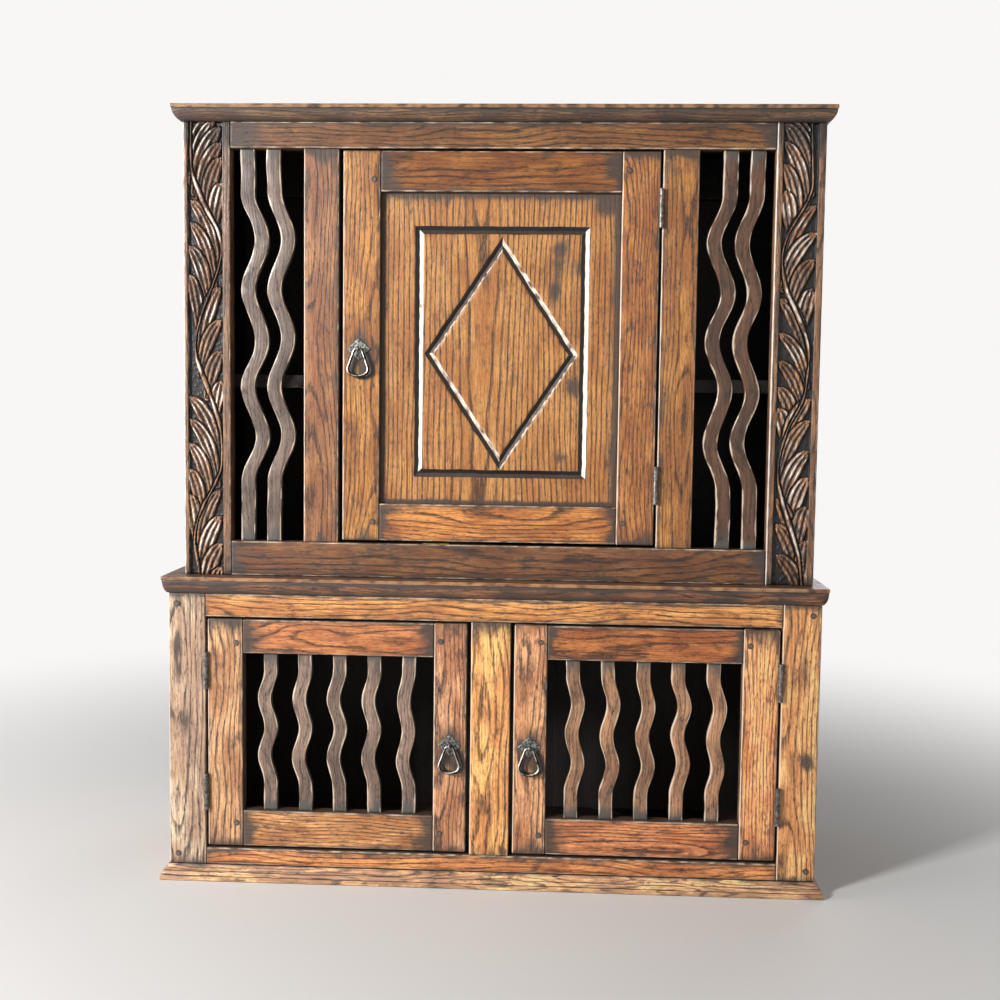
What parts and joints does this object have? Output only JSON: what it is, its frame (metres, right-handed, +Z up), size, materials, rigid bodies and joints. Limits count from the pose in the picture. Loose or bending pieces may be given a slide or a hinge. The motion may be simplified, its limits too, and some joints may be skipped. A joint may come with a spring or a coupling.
{
  "type": "wall cabinet",
  "caption": "Two-tier oak wall cupboard with pegged frames, carved stiles, wavy slats, a grooved panelled door above, slatted doors below and pear-shaped pulls.",
  "frame": {"origin": "on the underside of the base board, in the middle of the lower carcase's width and depth", "axes": "+X to the right as seen from the front, +Y to the back, +Z up"},
  "size_m": [0.888, 0.3119, 1.0315],
  "materials": {
    "oak_frame": "waxed, rubbed at the edges",
    "oak_door": "waxed, dark in the corners",
    "oak_moulding": "dark wax, worn nosings",
    "oak_carved": "carved, waxed, dark in the hollows",
    "oak_slats": "dull wax",
    "oak_sides": "waxed",
    "oak_inner": "raw and darkened",
    "oak_pegs": "end grain",
    "wrought_iron": "hammered, waxed",
    "steel": "dull, worn",
    "brass": "aged satin"
  },
  "bodies": {
    "carcase": {"cornice_board": "oak_moulding", "ledge_board": "oak_moulding", "base_board": "oak_moulding", "upper_stile_left": "oak_carved", "upper_stile_right": "oak_carved", "upper_top_rail": "oak_frame", "upper_bottom_rail": "oak_frame", "upper_muntin_left": "oak_frame", "upper_muntin_right": "oak_frame", "upper_slats_left": "oak_slats", "upper_slats_right": "oak_slats", "upper_side_left": "oak_sides", "upper_side_right": "oak_sides", "upper_back_boards": "oak_inner", "upper_back_rail": "oak_inner", "shelf": "oak_inner", "shelf_bearers": "oak_inner", "lower_stile_left": "oak_frame", "lower_stile_right": "oak_frame", "lower_top_rail": "oak_frame", "lower_bottom_rail": "oak_frame", "lower_muntin": "oak_frame", "lower_side_left": "oak_sides", "lower_side_right": "oak_sides", "lower_back_boards": "oak_inner", "stile_pegs": "oak_pegs", "catch_plate": "brass", "hinge_frame_leaves": "steel", "hinge_pins": "steel", "hinge_screws": "steel"},
    "upper_door": {"upper_door_hinge_stile": "oak_door", "upper_door_lock_stile": "oak_door", "upper_door_top_rail": "oak_door", "upper_door_bottom_rail": "oak_door", "upper_door_panel": "oak_door", "upper_door_pegs": "oak_pegs", "upper_door_hinge_leaves": "steel", "upper_door_screws_and_nails": "steel", "upper_door_handle_plate": "wrought_iron"},
    "lower_left_door": {"lower_left_door_hinge_stile": "oak_door", "lower_left_door_lock_stile": "oak_door", "lower_left_door_top_rail": "oak_door", "lower_left_door_bottom_rail": "oak_door", "lower_left_door_slats": "oak_slats", "lower_left_door_pegs": "oak_pegs", "lower_left_door_hinge_leaves": "steel", "lower_left_door_screws_and_nails": "steel", "lower_left_door_handle_plate": "wrought_iron"},
    "lower_right_door": {"lower_right_door_hinge_stile": "oak_door", "lower_right_door_lock_stile": "oak_door", "lower_right_door_top_rail": "oak_door", "lower_right_door_bottom_rail": "oak_door", "lower_right_door_slats": "oak_slats", "lower_right_door_pegs": "oak_pegs", "lower_right_door_hinge_leaves": "steel", "lower_right_door_screws_and_nails": "steel", "lower_right_door_handle_plate": "wrought_iron"},
    "upper_drop": {"upper_door_handle_drop": "wrought_iron"},
    "lower_left_drop": {"lower_left_door_handle_drop": "wrought_iron"},
    "lower_right_drop": {"lower_right_door_handle_drop": "wrought_iron"}
  },
  "joints": [
    {"name": "upper_door_hinges", "type": "hinge", "parent": "carcase", "child": "upper_door", "pos_m": [0.2135, -0.1335, 0.718], "axis": [0, 0, 1], "range_deg": [0, 170]},
    {"name": "lower_left_door_hinges", "type": "hinge", "parent": "carcase", "child": "lower_left_door", "pos_m": [-0.38075, -0.1535, 0.201], "axis": [0, 0, -1], "range_deg": [0, 170]},
    {"name": "lower_right_door_hinges", "type": "hinge", "parent": "carcase", "child": "lower_right_door", "pos_m": [0.38075, -0.1535, 0.201], "axis": [0, 0, 1], "range_deg": [0, 170]},
    {"name": "upper_drop_pivot", "type": "hinge", "parent": "upper_door", "child": "upper_drop", "pos_m": [-0.18025, -0.138, 0.716], "axis": [-1, 0, 0], "range_deg": [-8, 85]},
    {"name": "lower_left_drop_pivot", "type": "hinge", "parent": "lower_left_door", "child": "lower_left_drop", "pos_m": [-0.053, -0.158, 0.192], "axis": [-1, 0, 0], "range_deg": [-8, 85]},
    {"name": "lower_right_drop_pivot", "type": "hinge", "parent": "lower_right_door", "child": "lower_right_drop", "pos_m": [0.053, -0.158, 0.192], "axis": [-1, 0, 0], "range_deg": [-8, 85]}
  ]
}
